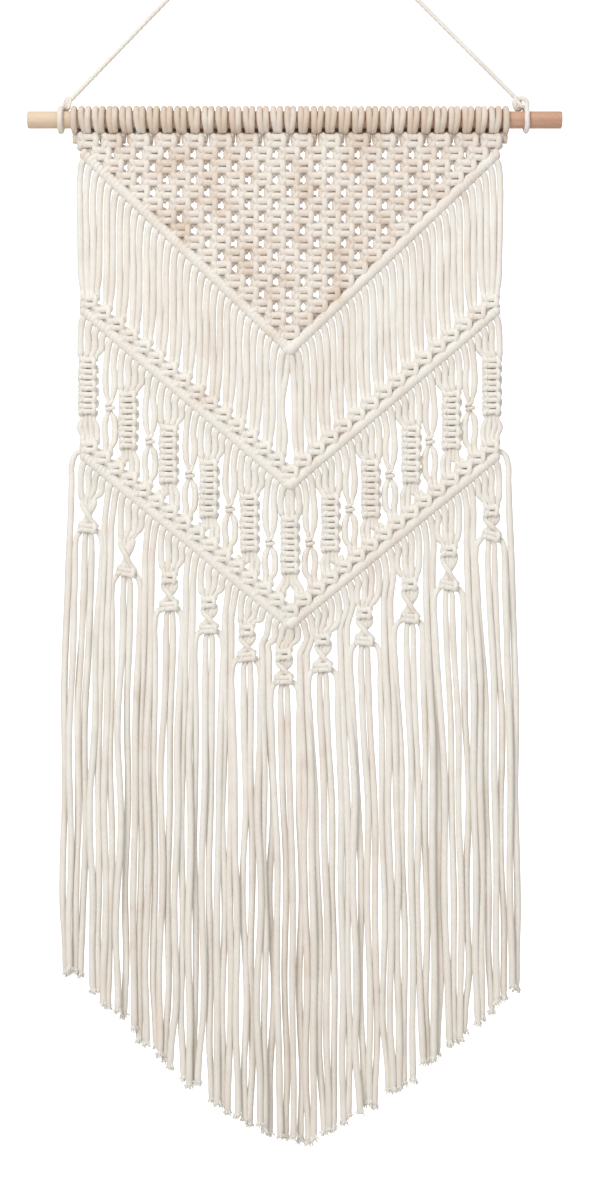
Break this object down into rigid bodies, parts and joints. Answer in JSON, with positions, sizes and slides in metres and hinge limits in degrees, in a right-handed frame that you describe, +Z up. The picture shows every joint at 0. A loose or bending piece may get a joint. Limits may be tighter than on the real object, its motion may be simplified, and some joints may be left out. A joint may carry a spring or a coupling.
{
  "type": "macrame wall hanging on a wooden dowel",
  "caption": "Knotted cotton wall hanging on a wooden dowel: openwork net, chevron bars, knotted ladder band, twisted stacks and a pointed fringe, with a cord hanger.",
  "frame": {"origin": "the hang point: the underside of the hanger cord at the top of its bend", "axes": "+Z up, +X to the right of a viewer who faces the cloth, +Y towards the wall; the cloth faces -Y"},
  "size_m": [0.395, 0.021, 0.9388],
  "materials": {
    "beech": "sanded, unvarnished beech",
    "cotton_cord": "matte twisted cotton, undyed"
  },
  "bodies": {
    "root": {"dowel": "beech", "hanger_cord": "cotton_cord", "hanger_hitch_left": "cotton_cord", "hanger_hitch_right": "cotton_cord", "lark_head_row": "cotton_cord", "net_panel": "cotton_cord", "upper_band": "cotton_cord", "ladder_band": "cotton_cord", "fringe": "cotton_cord"}
  },
  "joints": []
}
